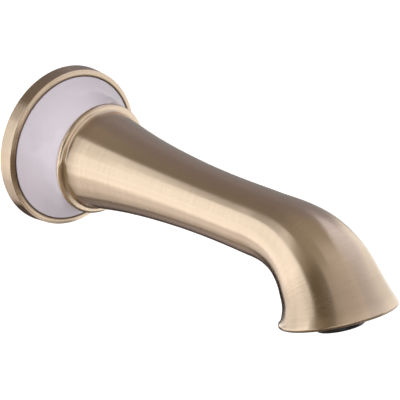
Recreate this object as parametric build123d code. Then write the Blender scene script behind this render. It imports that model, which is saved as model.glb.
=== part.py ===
from build123d import *
import os
from math import ceil, cos, radians, sin

# Wall-mounted bath spout: a cast brass body with a trumpet foot, a slim neck and a belled outlet, screwed on a
# nipple in the wall, with a porcelain collar clamped between its foot and a turned brass rosette.
# Millimetres. The origin is the middle of the wall plane, +Z is up and the spout stands out along -Y.
# "out" is a distance from the wall plane, "depth" a distance below the plane of the outlet's lip.

# Rosette
rosette_d = 70.0
rim_width = 2.7
rim_draft = 0.5
rosette_floor = 2.6
rim_inner_height = 6.75
rim_outer_height = 6.1
rim_crown = 0.12
rim_edge_round = 0.35

# Foam ring in the rosette's back
wall_gasket_edge = 5.0
wall_gasket_width = 5.0
wall_gasket_t = 1.2
gasket_side_gap = 0.1

# Porcelain collar
collar_length = 19.0
collar_wall = 4.5
collar_rim_gap = 0.25
collar_rim_step = 0.35
collar_glaze_round = 0.5
collar_flare_in = 3.2
collar_flare_drop = 5.5
collar_throat = 7.0
collar_throat_rise = 0.9

# Rubber rings before and behind the porcelain
collar_gasket_t = 0.8
collar_gasket_margin = 0.7

# Foot of the body: spigot through the collar, bead and cove
spigot_d = 31.0
spigot_gap = 4.0
spigot_clearance = 0.3
bead_d = 48.2
bead_round = 1.6
bead_lap = 1.4
cove_r = 1.6

# Trumpet and neck: radius at a few distances from the wall
foot_slope_deg = 9.2
flank_out = 50.0
flank_r = 17.3
waist_out = 82.0
waist_r = 14.4
elbow_out = 121.3
elbow_r = 13.9
elbow_slope = 0.02

# Elbow: where the outlet is, which way it points, and how long the curve follows each end's direction
outlet_out = 167.1
outlet_drop = 26.0
outlet_tilt_deg = 71.9
elbow_lead_in = 18.3
elbow_lead_out = 27.9

# Bell: radius at shares of the elbow's length, and the lip
bell_sections = [(0.163, 14.1), (0.321, 15.2), (0.506, 17.3), (0.668, 19.1), (0.857, 21.0), (0.946, 22.9)]
lip_r = 24.9
lip_round = 1.1
lip_wall = 3.7
lip_chamfer = 0.9
outlet_recess = 2.5

# Waterway
wall_t = 3.2
inlet_hole_r = 7.5
cavity_end_share = 0.506
cavity_end_r = 15.4

# G 1/2 inlet thread and its nipple, threads left smooth at their major diameter
thread_d = 20.955
thread_clearance = 0.03
thread_engagement = 15.5
nipple_tail = 18.0
nipple_waist_d = 18.6
nipple_bore_d = 11.6
nipple_key_flats = 12.0
nipple_key_depth = 12.0
nipple_chamfer = 1.0
seal_t = 2.0
seal_inner_r = 7.5
seal_clearance = 0.2

# M 24 x 1 outlet thread and the aerator in it
aerator_thread_d = 24.0
aerator_socket = 9.5
aerator_seat_t = 1.5
aerator_seat_r = 10.0
aerator_flange_d = 26.0
aerator_flange_t = 1.3
aerator_nose_d = 19.4
aerator_nose_drop = 4.4
aerator_nose_round = 0.8
aerator_nose_wall = 1.2
aerator_seal_t = 1.5
aerator_seal_inner_r = 9.4
aerator_cup_wall = 1.6
aerator_cup_clearance = 0.1
strainer_t = 2.0
strainer_hole_r = 0.75
strainer_pitch = 2.6
mixer_t = 2.2
mixer_jet_r = 0.6
mixer_jet_count = 12
mixer_boss_r = 3.0
mixer_boss_t = 1.6
screen_t = 2.2
screen_cell = 1.8
screen_bar = 0.5
screen_ledge = 0.6
screen_ledge_t = 0.8

# Sizes that follow from those above
rosette_r = rosette_d / 2
rim_outer_r = rosette_r - rim_draft
rim_inner_r = rim_outer_r - rim_width
collar_r = rim_inner_r - collar_rim_gap
wall_gasket_outer_r = rosette_r - wall_gasket_edge
wall_gasket_inner_r = wall_gasket_outer_r - wall_gasket_width
spigot_r = spigot_d / 2
clear_r = spigot_r + spigot_clearance
bead_r = bead_d / 2
collar_front_r = bead_r - bead_lap
thread_r = thread_d / 2
collar_foot = rosette_floor + collar_gasket_t
collar_front = collar_foot + collar_length
bead_back = collar_front + collar_gasket_t
bead_centre_r = bead_r - bead_round
bead_front = bead_back + 2 * bead_round
cove_centre = bead_front + cove_r
foot_angle = radians(foot_slope_deg)
foot_out = cove_centre - cove_r * sin(foot_angle)
foot_r = bead_centre_r - cove_r * cos(foot_angle)
nipple_front = spigot_gap + thread_engagement
seal_seat = nipple_front + seal_t
aerator_thread_r = aerator_thread_d / 2
aerator_nose_r = aerator_nose_d / 2
aerator_nose_bore_r = aerator_nose_r - aerator_nose_wall
aerator_cup_r = aerator_thread_r - aerator_cup_wall
aerator_disc_r = aerator_cup_r - aerator_cup_clearance
socket_top = -(outlet_recess + aerator_socket)
aerator_top = socket_top + aerator_seal_t
cup_floor = aerator_top + strainer_t + mixer_t
screen_seat = aerator_nose_drop - screen_ledge_t

# Side plane: local x runs out from the wall, local y runs up
SIDE = Plane(origin=(0, 0, 0), x_dir=(0, -1, 0), z_dir=(-1, 0, 0))
OUT_AXIS = Axis((0, 0, 0), (0, -1, 0))

# Elbow centreline in the side plane
outlet_tilt = radians(outlet_tilt_deg)
outlet_point = Vector(outlet_out, -outlet_drop)
outlet_way = Vector(cos(outlet_tilt), -sin(outlet_tilt))
elbow = SIDE * Bezier(
    (elbow_out, 0),
    (elbow_out + elbow_lead_in, 0),
    outlet_point - outlet_way * elbow_lead_out,
    outlet_point,
)

# Outlet frame: local z points down out of the spout, its origin is the middle of the lip's plane
OUTLET = Plane(origin=elbow @ 1, x_dir=(1, 0, 0), z_dir=elbow % 1)


def turned(*edges):
    """Turn a closed half-section, drawn as (out, radius), about the inlet axis."""
    return revolve(SIDE * make_face(edges), OUT_AXIS)


def ring(out_from, out_to, inner_r, outer_r):
    """Plain ring about the inlet axis."""
    corners = [(out_from, inner_r), (out_to, inner_r), (out_to, outer_r), (out_from, outer_r)]
    return turned(Polyline(*corners, close=True))


def outlet_turned(*edges):
    """Turn a closed half-section, drawn as (radius, depth), about the outlet axis."""
    return OUTLET * revolve(Plane.XZ * make_face(edges), Axis.Z)


def outlet_ring(depth_from, depth_to, inner_r, outer_r):
    """Plain ring or disc about the outlet axis."""
    corners = [(inner_r, depth_from), (outer_r, depth_from), (outer_r, depth_to), (inner_r, depth_to)]
    return outlet_turned(Polyline(*corners, close=True))


def rounded(sketch, corner, radius):
    """Round the corner of a flat section that lies nearest to a point."""
    return fillet(sketch.vertices().sort_by_distance((*corner, 0))[0], radius)


def elbow_section(share, radius):
    """Circle square to the elbow's centreline at a share of its length."""
    at = share * elbow.length
    centre = elbow.position_at(at, position_mode=PositionMode.LENGTH)
    way = elbow.tangent_at(at, position_mode=PositionMode.LENGTH)
    return Plane(origin=centre, x_dir=(1, 0, 0), z_dir=way) * Circle(radius)


def trumpet_curve(inset):
    """Flared side of the foot and neck, moved in by a wall's thickness."""
    return Spline(
        (foot_out, foot_r - inset),
        (flank_out, flank_r - inset),
        (waist_out, waist_r - inset),
        (elbow_out, elbow_r - inset),
        tangents=[(cos(foot_angle), -sin(foot_angle)), (1, elbow_slope)],
    )


def lip_face(bell):
    """Flat end of the bell, the face that lies furthest down the outlet axis."""
    return bell.faces().sort_by(Axis(OUTLET.origin, OUTLET.z_dir))[-1]


def body_skin():
    """Outside of the casting: spigot, bead, cove and trumpet turned, elbow and bell lofted, lip rounded."""
    cove_mid = cove_r * cos(radians(45))
    foot = turned(
        Polyline(
            (elbow_out, elbow_r),
            (elbow_out, 0),
            (spigot_gap, 0),
            (spigot_gap, spigot_r),
            (bead_back, spigot_r),
            (bead_back, bead_centre_r),
        ),
        ThreePointArc((bead_back, bead_centre_r), (bead_back + bead_round, bead_r), (bead_front, bead_centre_r)),
        ThreePointArc(
            (bead_front, bead_centre_r),
            (cove_centre - cove_mid, bead_centre_r - cove_mid),
            (foot_out, foot_r),
        ),
        trumpet_curve(0),
    )
    sections = [(0, elbow_r)] + bell_sections + [(1, lip_r)]
    bell = loft([elbow_section(share, radius) for share, radius in sections])
    return foot + fillet(lip_face(bell).edges(), lip_round)


def waterway():
    """Cored hollow of the casting, a wall's thickness inside the skin, closed above the aerator's seat."""
    neck = turned(
        trumpet_curve(wall_t),
        Polyline((elbow_out, elbow_r - wall_t), (elbow_out, 0), (foot_out, 0), (foot_out, foot_r - wall_t)),
    )
    floor = OUTLET * Pos(0, 0, socket_top - aerator_seat_t) * Circle(cavity_end_r)
    walls = [(0, elbow_r)] + [pair for pair in bell_sections if pair[0] <= cavity_end_share]
    return neck + loft([elbow_section(share, radius - wall_t) for share, radius in walls] + [floor])


def outlet_cuts():
    """Recess behind the lip with its chamfered mouth, aerator socket and the hole above its seat."""
    recess_r = lip_r - lip_wall
    mouth_r = recess_r + 2 * lip_chamfer
    recess = outlet_turned(Polyline(
        (0, -outlet_recess),
        (recess_r, -outlet_recess),
        (recess_r, -lip_chamfer),
        (mouth_r, lip_chamfer),
        (0, lip_chamfer),
        close=True,
    ))
    socket = outlet_ring(socket_top, -outlet_recess, 0, aerator_thread_r + thread_clearance)
    throat = outlet_ring(socket_top - aerator_seat_t, socket_top, 0, aerator_seat_r)
    return recess + socket + throat


def spout_body():
    """Cast body with its waterway and the holes of both threads."""
    inlet = ring(spigot_gap, seal_seat, 0, thread_r + thread_clearance)
    passage = ring(spigot_gap, foot_out, 0, inlet_hole_r)
    return body_skin() - waterway() - inlet - passage - outlet_cuts()


def rosette():
    """Turned dish: floor with the spigot's hole, crowned rim, and a groove in the back for the foam ring."""
    rim_mid_r = (rim_inner_r + rim_outer_r) / 2
    rim_mid_height = (rim_inner_height + rim_outer_height) / 2 + rim_crown
    rim_front = ThreePointArc(
        (rim_inner_height, rim_inner_r),
        (rim_mid_height, rim_mid_r),
        (rim_outer_height, rim_outer_r),
    )
    outline = Polyline(
        (rim_outer_height, rim_outer_r),
        (0, rosette_r),
        (0, clear_r),
        (rosette_floor, clear_r),
        (rosette_floor, rim_inner_r),
        (rim_inner_height, rim_inner_r),
    )
    section = rounded(make_face([rim_front, outline]), (rim_outer_height, rim_outer_r), rim_edge_round)
    groove_inner_r = wall_gasket_inner_r - gasket_side_gap
    groove_outer_r = wall_gasket_outer_r + gasket_side_gap
    return revolve(SIDE * section, OUT_AXIS) - ring(0, wall_gasket_t, groove_inner_r, groove_outer_r)


def collar_flare(inset):
    """Hollow-curved side of the porcelain, moved in by a wall's thickness."""
    flare_out = rim_inner_height + collar_rim_step - inset
    return Bezier(
        (flare_out, collar_r - inset),
        (flare_out + collar_flare_in, collar_r - collar_flare_drop - inset),
        (collar_front - collar_throat - inset, collar_front_r + collar_throat_rise - inset),
        (collar_front - inset, collar_front_r - inset),
    )


def porcelain_collar():
    """Bell-shaped ring, hollow behind, that stands in the rosette's rim and centres on the spigot."""
    outside = make_face([
        collar_flare(0),
        Polyline(
            (collar_front, collar_front_r),
            (collar_front, clear_r),
            (collar_foot, clear_r),
            (collar_foot, collar_r),
            (rim_inner_height + collar_rim_step, collar_r),
        ),
    ])
    outside = rounded(outside, (collar_front, collar_front_r), collar_glaze_round)
    outside = rounded(outside, (rim_inner_height + collar_rim_step, collar_r), collar_glaze_round)
    hollow_out = rim_inner_height + collar_rim_step - collar_wall
    hollow = turned(
        collar_flare(collar_wall),
        Polyline(
            (collar_front - collar_wall, collar_front_r - collar_wall),
            (collar_front - collar_wall, 0),
            (hollow_out, 0),
            (hollow_out, collar_r - collar_wall),
        ),
    )
    return revolve(SIDE * outside, OUT_AXIS) - hollow


def collar_front_gasket():
    """Rubber ring between the bead and the porcelain."""
    return ring(collar_front, bead_back, clear_r, collar_front_r - collar_gasket_margin)


def collar_rear_gasket():
    """Rubber ring under the porcelain's foot."""
    inner_r = collar_r - collar_wall + collar_gasket_margin
    return ring(rosette_floor, collar_foot, inner_r, collar_r - collar_gasket_margin)


def wall_gasket():
    """Foam ring, pressed flush into the rosette's back."""
    return ring(0, wall_gasket_t, wall_gasket_inner_r, wall_gasket_outer_r)


def wall_nipple():
    """Nipple with a tail for the wall fitting, a plain waist, a thread for the spout and a hexagon socket."""
    shank = turned(Polyline(
        (-nipple_tail, nipple_bore_d / 2),
        (-nipple_tail, thread_r - nipple_chamfer),
        (-nipple_tail + nipple_chamfer, thread_r),
        (0, thread_r),
        (0, nipple_waist_d / 2),
        (spigot_gap, nipple_waist_d / 2),
        (spigot_gap, thread_r),
        (nipple_front - nipple_chamfer, thread_r),
        (nipple_front, thread_r - nipple_chamfer),
        (nipple_front, nipple_bore_d / 2),
        close=True,
    ))
    key = RegularPolygon(nipple_key_flats / 2, 6, major_radius=False)
    front = Plane(origin=(0, -nipple_front, 0), x_dir=(1, 0, 0), z_dir=(0, 1, 0))
    return shank - extrude(front * key, nipple_key_depth)


def nipple_seal():
    """Flat washer between the nipple's end and the bottom of the inlet thread."""
    return ring(nipple_front, seal_seat, seal_inner_r, thread_r - seal_clearance)


def aerator_seal():
    """Rubber washer between the seat in the outlet and the aerator."""
    return outlet_ring(socket_top, aerator_top, aerator_seal_inner_r, aerator_thread_r - seal_clearance)


def aerator_housing():
    """Moulded sleeve: thread, flange under the outlet, nose below the lip, and a cup for the inner discs."""
    flange_bottom = aerator_flange_t - outlet_recess
    nose_round_r = aerator_nose_r - aerator_nose_round
    mouth_r = aerator_nose_bore_r - screen_ledge
    round_mid = aerator_nose_round * cos(radians(45))
    nose_round_mid = (nose_round_r + round_mid, aerator_nose_drop - aerator_nose_round + round_mid)
    return outlet_turned(
        Polyline(
            (nose_round_r, aerator_nose_drop),
            (mouth_r, aerator_nose_drop),
            (mouth_r, screen_seat),
            (aerator_nose_bore_r, screen_seat),
            (aerator_nose_bore_r, cup_floor),
            (aerator_cup_r, cup_floor),
            (aerator_cup_r, aerator_top),
            (aerator_thread_r, aerator_top),
            (aerator_thread_r, -outlet_recess),
            (aerator_flange_d / 2, -outlet_recess),
            (aerator_flange_d / 2, flange_bottom),
            (aerator_nose_r, flange_bottom),
            (aerator_nose_r, aerator_nose_drop - aerator_nose_round),
        ),
        ThreePointArc(
            (aerator_nose_r, aerator_nose_drop - aerator_nose_round),
            nose_round_mid,
            (nose_round_r, aerator_nose_drop),
        ),
    )


def hex_places(pitch, reach):
    """Places of a hexagonal grid within a distance of the middle."""
    steps = ceil(reach / pitch) + 1
    across = 2 * steps + 1
    grid = HexLocations(pitch / 2, across, across, major_radius=False)
    return [place for place in grid if place.position.length < reach]


def aerator_strainer():
    """Disc with small round holes in a hexagonal grid."""
    disc = outlet_ring(aerator_top, aerator_top + strainer_t, 0, aerator_disc_r)
    reach = aerator_seal_inner_r - 2 * strainer_hole_r
    holes = [place * Circle(strainer_hole_r) for place in hex_places(strainer_pitch, reach)]
    return disc - [OUTLET * Pos(0, 0, aerator_top) * extrude(hole, strainer_t) for hole in holes]


def aerator_mixer():
    """Jet plate: a ring of jets round a boss that spreads the water."""
    plate_top = aerator_top + strainer_t
    disc = outlet_ring(plate_top, cup_floor, 0, aerator_disc_r)
    boss = outlet_ring(cup_floor, cup_floor + mixer_boss_t, 0, mixer_boss_r)
    jet_circle_r = (aerator_nose_bore_r + mixer_boss_r) / 2
    jets = [place * Circle(mixer_jet_r) for place in PolarLocations(jet_circle_r, mixer_jet_count)]
    return disc + boss - [OUTLET * Pos(0, 0, plate_top) * extrude(jet, mixer_t) for jet in jets]


def aerator_screen():
    """Honeycomb grid behind the ledge at the mouth of the nose."""
    screen_r = aerator_nose_bore_r - aerator_cup_clearance
    disc = outlet_ring(screen_seat - screen_t, screen_seat, 0, screen_r)
    cell = RegularPolygon(screen_cell / 2, 6, major_radius=False)
    reach = screen_r - screen_ledge - screen_cell / 2
    cells = [place * cell for place in hex_places(screen_cell + screen_bar, reach)]
    return disc - [OUTLET * Pos(0, 0, screen_seat - screen_t) * extrude(hole, screen_t) for hole in cells]


pieces = [
    spout_body,
    rosette,
    porcelain_collar,
    collar_front_gasket,
    collar_rear_gasket,
    wall_gasket,
    wall_nipple,
    nipple_seal,
    aerator_seal,
    aerator_housing,
    aerator_strainer,
    aerator_mixer,
    aerator_screen,
]

os.makedirs("parts", exist_ok=True)
for piece in pieces:
    export_step(piece(), f"parts/{piece.__name__}.step")
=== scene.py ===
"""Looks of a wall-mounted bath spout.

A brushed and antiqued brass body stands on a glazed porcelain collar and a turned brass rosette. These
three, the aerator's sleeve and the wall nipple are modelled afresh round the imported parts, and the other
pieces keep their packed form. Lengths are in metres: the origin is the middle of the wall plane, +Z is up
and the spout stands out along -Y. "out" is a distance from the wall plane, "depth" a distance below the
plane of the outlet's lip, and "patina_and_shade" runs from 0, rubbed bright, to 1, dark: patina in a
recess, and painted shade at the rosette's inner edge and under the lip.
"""
import logging
import math
from collections.abc import Callable, Sequence
from dataclasses import dataclass, field
from enum import Enum
from functools import cached_property

import bpy
import numpy as np
from mathutils import Euler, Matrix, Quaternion, Vector


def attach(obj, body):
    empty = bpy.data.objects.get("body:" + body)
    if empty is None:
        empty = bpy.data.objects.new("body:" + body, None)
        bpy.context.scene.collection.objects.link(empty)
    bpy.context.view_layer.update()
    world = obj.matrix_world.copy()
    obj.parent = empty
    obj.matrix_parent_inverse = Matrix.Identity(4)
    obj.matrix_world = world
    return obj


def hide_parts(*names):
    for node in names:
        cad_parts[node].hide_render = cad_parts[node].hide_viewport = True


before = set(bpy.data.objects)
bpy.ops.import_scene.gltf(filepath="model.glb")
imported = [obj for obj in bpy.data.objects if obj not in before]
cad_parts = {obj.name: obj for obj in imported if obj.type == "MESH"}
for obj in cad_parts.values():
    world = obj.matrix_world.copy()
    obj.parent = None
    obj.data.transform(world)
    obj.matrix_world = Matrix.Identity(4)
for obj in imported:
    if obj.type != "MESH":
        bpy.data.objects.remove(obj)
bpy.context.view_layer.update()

BODY = "root"
IMAGE_SIDE = 400
SEGMENTS = 144
SHARP_EDGE = math.radians(32.0)
WHITE = "#FFFFFF"
# Radius at which the brush coordinates have their true length round a piece
BRUSH_R = 0.018
# Most values of a noise texture lie in the first range, and nearly all in the second
NOISE_CORE = (0.35, 0.65)
NOISE_SPAN = (0.3, 0.7)

Point = tuple[float, float]
Colour = tuple[float, float, float, float]

log = logging.getLogger("bath_spout")


def paint(code: str) -> Colour:
    """Turn an sRGB hex colour to linear light.

    Args:
        code: six hex digits after a hash sign.

    Returns:
        Linear red, green and blue, and an alpha of 1.
    """
    parts = [int(code[i:i + 2], 16) / 255 for i in (1, 3, 5)]
    linear = [c / 12.92 if c <= 0.04045 else ((c + 0.055) / 1.055) ** 2.4 for c in parts]
    return (linear[0], linear[1], linear[2], 1.0)


def add_node(tree: bpy.types.NodeTree, kind: str, settings: dict | None = None,
             links: dict | None = None) -> bpy.types.Node:
    """Add a node with its settings and links.

    Args:
        tree: node tree that gets the node.
        kind: the node's type.
        settings: values by the name or number of an input socket, or else by the name of a property.
        links: output sockets by the name or number of the input socket that each one feeds.

    Returns:
        The new node.
    """
    node = tree.nodes.new(kind)
    for key, value in (settings or {}).items():
        if isinstance(key, int) or key in node.inputs:
            node.inputs[key].default_value = value
        else:
            setattr(node, key, value)
    for key, output in (links or {}).items():
        tree.links.new(output, node.inputs[key])
    return node


def new_material(name: str) -> bpy.types.Material:
    """Start a material with an empty node tree.

    Args:
        name: what to call it.

    Returns:
        The new material.
    """
    material = bpy.data.materials.new(name)
    material.use_nodes = True
    material.node_tree.nodes.clear()
    return material


# Curves and rings

def arc(centre: Point, radius: float, start_deg: float, end_deg: float, steps: int) -> list[Point]:
    """Points of an arc in a half-section.

    Args:
        centre: middle of the arc, as (along, radius).
        radius: the arc's own radius.
        start_deg: first angle, from the along direction towards the radius.
        end_deg: last angle.
        steps: number of spans.

    Returns:
        The points, both ends among them.
    """
    angles = [math.radians(start_deg + (end_deg - start_deg) * i / steps) for i in range(steps + 1)]
    return [(centre[0] + radius * math.cos(a), centre[1] + radius * math.sin(a)) for a in angles]


def line(start: Point, end: Point, steps: int = 1) -> list[Point]:
    """Points of a straight run of a half-section, both ends among them."""
    shares = [i / steps for i in range(steps + 1)]
    return [(start[0] + (end[0] - start[0]) * s, start[1] + (end[1] - start[1]) * s) for s in shares]


def bezier(corners: Sequence[Point], steps: int) -> list[Point]:
    """Points of a cubic curve in a half-section.

    Args:
        corners: the four control points.
        steps: number of spans.

    Returns:
        The points, both ends among them.
    """
    points = []
    for i in range(steps + 1):
        t = i / steps
        weights = ((1 - t) ** 3, 3 * t * (1 - t) ** 2, 3 * t * t * (1 - t), t ** 3)
        points.append(tuple(sum(w * c[k] for w, c in zip(weights, corners)) for k in (0, 1)))
    return points


def ease(share: float) -> float:
    """Smooth step from 0 to 1 over a share of 0 to 1."""
    t = min(1.0, max(0.0, share))
    return t * t * (3 - 2 * t)


@dataclass(frozen=True)
class Fairing:
    """Smooth line through a few stations, a cubic between each two of them."""

    stations: tuple[Point, ...]
    slope_in: float
    slope_out: float

    @cached_property
    def slopes(self) -> list[float]:
        """Work out the slopes.

        Returns:
            The slope at each station, from the parabola through it and its neighbours.
        """
        inner = []
        for (xa, ya), (xb, yb), (xc, yc) in zip(self.stations, self.stations[1:], self.stations[2:]):
            before, after = (yb - ya) / (xb - xa), (yc - yb) / (xc - xb)
            inner.append((before * (xc - xb) + after * (xb - xa)) / (xc - xa))
        return [self.slope_in, *inner, self.slope_out]

    def at(self, x: float) -> float:
        """Height of the line at a place along it.

        Args:
            x: the place, between the first station and the last.

        Returns:
            The height there.
        """
        last = len(self.stations) - 2
        i = next((k for k in range(last) if x <= self.stations[k + 1][0]), last)
        (xa, ya), (xb, yb) = self.stations[i:i + 2]
        span = xb - xa
        t = (x - xa) / span
        rise = (ya * (1 + 2 * t) + self.slopes[i] * span * t) * (1 - t) ** 2
        return rise + (yb * (3 - 2 * t) - self.slopes[i + 1] * span * (1 - t)) * t * t


@dataclass(frozen=True)
class Ring:
    """One ring of a skin: its middle in the side plane, its plane's tilt, its radius and its patina, which in
    places is painted shade.

    A ring that isn't round has a section, which gives its radius over the angle from the top.
    """

    out: float
    up: float
    tilt: float
    radius: float
    patina_and_shade: float = 0.0
    section: Callable[[np.ndarray], np.ndarray] | None = None

    @property
    def centre(self) -> Vector:
        """Middle of the ring."""
        return Vector((0.0, -self.out, self.up))

    @property
    def upward(self) -> Vector:
        """Direction in the ring's plane that points up."""
        return Vector((0.0, -math.sin(self.tilt), math.cos(self.tilt)))


@dataclass(frozen=True)
class Elbow:
    """Centreline of the elbow: a cubic curve that leaves the neck level and ends in the outlet's axis."""

    start_out: float = 0.1213
    lead_in: float = 0.0183
    outlet_out: float = 0.1671
    outlet_drop: float = 0.0260
    outlet_tilt: float = math.radians(71.9)
    lead_out: float = 0.0279
    spans: int = 240

    @cached_property
    def corners(self) -> list[Point]:
        """Control points of the curve, as (out, up)."""
        back = (self.lead_out * math.cos(self.outlet_tilt), self.lead_out * math.sin(self.outlet_tilt))
        return [
            (self.start_out, 0.0),
            (self.start_out + self.lead_in, 0.0),
            (self.outlet_out - back[0], back[1] - self.outlet_drop),
            (self.outlet_out, -self.outlet_drop),
        ]

    @cached_property
    def walk(self) -> tuple[list[Point], list[float]]:
        """Walk along the curve.

        Returns:
            Its points, and the length walked up to each.
        """
        points = bezier(self.corners, self.spans)
        walked = [0.0]
        for a, b in zip(points, points[1:]):
            walked.append(walked[-1] + math.dist(a, b))
        return points, walked

    @property
    def length(self) -> float:
        """Length of the curve."""
        return self.walk[1][-1]

    def ring(self, share: float, radius: float, patina_and_shade: float = 0.0) -> Ring:
        """Ring square to the curve.

        Args:
            share: share of the curve's length at which the ring stands.
            radius: its radius.
            patina_and_shade: its patina.

        Returns:
            The ring.
        """
        points, walked = self.walk
        goal = share * self.length
        i = next((k for k in range(self.spans - 1) if walked[k + 1] >= goal), self.spans - 1)
        t = (goal - walked[i]) / (walked[i + 1] - walked[i])
        (xa, ya), (xb, yb) = points[i:i + 2]
        t_curve = (i + t) / self.spans
        weights = ((1 - t_curve) ** 2, 2 * t_curve * (1 - t_curve), t_curve ** 2)
        way = [0.0, 0.0]
        for weight, a, b in zip(weights, self.corners, self.corners[1:]):
            way[0] += weight * (b[0] - a[0])
            way[1] += weight * (b[1] - a[1])
        tilt = math.atan2(-way[1], way[0])
        return Ring(xa + (xb - xa) * t, ya + (yb - ya) * t, tilt, radius, patina_and_shade)

    def below(self, depth: float, radius: float, patina_and_shade: float = 0.0) -> Ring:
        """Ring about the outlet's axis.

        Args:
            depth: depth of its middle below the lip's plane.
            radius: its radius.
            patina_and_shade: its patina.

        Returns:
            The ring.
        """
        out = self.outlet_out + depth * math.cos(self.outlet_tilt)
        up = -self.outlet_drop - depth * math.sin(self.outlet_tilt)
        return Ring(out, up, self.outlet_tilt, radius, patina_and_shade)


ELBOW = Elbow()


class TurnAxis(Enum):
    """Line that a turned piece is round."""

    INLET = "inlet"
    OUTLET = "outlet"

    def rings(self, points: Sequence[Point],
              patina_and_shade: float | Callable[[float], float] = 0.0) -> list[Ring]:
        """Rings of a half-section.

        Args:
            points: the half-section, as (out, radius) or (depth, radius).
            patina_and_shade: one value, or a function of the share of the points passed.

        Returns:
            One ring for each point.
        """
        made = []
        for i, (along, radius) in enumerate(points):
            tone = patina_and_shade(i / max(1, len(points) - 1)) if callable(patina_and_shade) else patina_and_shade
            if self is TurnAxis.INLET:
                made.append(Ring(along, 0.0, 0.0, radius, tone))
            else:
                made.append(ELBOW.below(along, radius, tone))
        return made


class RingSkin:
    """Closed skin: the edge of a circle is extruded, scaled, turned and moved as by hand, ring by ring."""

    def __init__(self, name: str, rings: Sequence[Ring]) -> None:
        """Keep the skin's name and rings, in the order in which they follow each other."""
        self.name = name
        self.rings = list(rings)

    def model(self) -> bpy.types.Object:
        """Model the skin.

        Returns:
            The finished mesh object, at the origin, with its brush coordinates and its patina, which in
            places is painted shade.
        """
        piece = self._first_ring()
        for before, after in zip(self.rings, self.rings[1:]):
            self._grow(before, after)
        self._close()
        bpy.ops.object.mode_set(mode="OBJECT")
        self._mark(piece, self._cut(piece))
        bpy.ops.object.shade_smooth_by_angle(angle=SHARP_EDGE)
        return piece

    def _first_ring(self) -> bpy.types.Object:
        """Add the first circle and open it for editing.

        Returns:
            The new mesh object.
        """
        first = self.rings[0]
        bpy.ops.object.select_all(action="DESELECT")
        bpy.ops.mesh.primitive_circle_add(
            vertices=SEGMENTS, radius=first.radius, location=first.centre,
            rotation=(math.pi / 2 + first.tilt, 0.0, 0.0))
        piece = bpy.context.active_object
        piece.name = self.name
        piece.data.name = self.name
        bpy.ops.object.transform_apply(location=True, rotation=True, scale=True)
        bpy.ops.object.mode_set(mode="EDIT")
        bpy.ops.mesh.select_mode(type="EDGE")
        bpy.ops.mesh.select_all(action="SELECT")
        return piece

    def _grow(self, before: Ring, after: Ring) -> None:
        """Extrude the open edge from one ring to the next.

        Args:
            before: the ring that the open edge is at.
            after: the ring that it goes to.
        """
        step = after.centre - before.centre
        bpy.ops.mesh.extrude_edges_move(TRANSFORM_OT_translate={"value": step})
        if after.radius != before.radius:
            ratio = after.radius / before.radius
            bpy.ops.transform.resize(value=(ratio, ratio, ratio), center_override=after.centre)
        if after.tilt != before.tilt:
            # Without a window the operator turns the other way
            bpy.ops.transform.rotate(
                value=before.tilt - after.tilt, orient_axis="X", center_override=after.centre)

    def _close(self) -> None:
        """Bridge the last ring to the first and turn the faces outwards."""
        bpy.ops.mesh.select_all(action="DESELECT")
        bpy.ops.mesh.select_non_manifold(extend=False, use_wire=False, use_multi_face=False,
                                         use_non_contiguous=False, use_verts=False)
        bpy.ops.mesh.bridge_edge_loops()
        bpy.ops.mesh.select_all(action="SELECT")
        bpy.ops.mesh.normals_make_consistent(inside=False)

    def _cut(self, piece: bpy.types.Object) -> np.ndarray:
        """Move the points of each ring that isn't round to its section.

        Args:
            piece: the mesh object, whose points follow the rings in order.

        Returns:
            The angle of each point from the top of its ring, towards +X.
        """
        places = np.empty(len(piece.data.vertices) * 3)
        piece.data.vertices.foreach_get("co", places)
        by_ring = places.reshape(len(self.rings), SEGMENTS, 3)
        angles = np.empty((len(self.rings), SEGMENTS))
        for ring, points, angle in zip(self.rings, by_ring, angles):
            away = points - np.array(ring.centre)
            angle[:] = np.arctan2(away[:, 0], away @ np.array(ring.upward))
            if ring.section is not None:
                points[:] += away * (ring.section(angle) / ring.radius - 1)[:, None]
        piece.data.vertices.foreach_set("co", places)
        piece.data.update()
        return angles.ravel()

    def _mark(self, piece: bpy.types.Object, angle: np.ndarray) -> None:
        """Write the brush coordinates, the patina (in places painted shade) and the map that gives the
        brushing its direction.

        Args:
            piece: the mesh object, whose points follow the rings in order.
            angle: the angle of each point from the top of its ring.
        """
        mesh = piece.data
        ring_of = np.arange(len(mesh.vertices)) // SEGMENTS
        walked = [0.0]
        for a, b in zip(self.rings, self.rings[1:]):
            walked.append(walked[-1] + math.hypot((b.centre - a.centre).length, b.radius - a.radius))
        along = np.array(walked)[ring_of]
        brush = np.stack([BRUSH_R * np.cos(angle), BRUSH_R * np.sin(angle), along], -1)
        mesh.attributes.new("brush", "FLOAT_VECTOR", "POINT").data.foreach_set("vector", brush.ravel())
        patina_and_shade = np.array([r.patina_and_shade for r in self.rings])[ring_of]
        mesh.attributes.new("patina_and_shade", "FLOAT", "POINT").data.foreach_set("value", patina_and_shade)
        corners = np.empty(len(mesh.loops), int)
        mesh.loops.foreach_get("vertex_index", corners)
        around = (angle[corners] / (2 * math.pi) % 1.0).reshape(-1, 4)
        # Faces across the seam go on past a full turn
        over_seam = (np.ptp(around, axis=1) > 0.5)[:, None]
        around[over_seam & (around < 0.5)] += 1.0
        lay = np.stack([along[corners], around.ravel() * 2 * math.pi * BRUSH_R], -1)
        mesh.uv_layers.new(name="lay").data.foreach_set("uv", lay.ravel())


# Finishes

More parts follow.
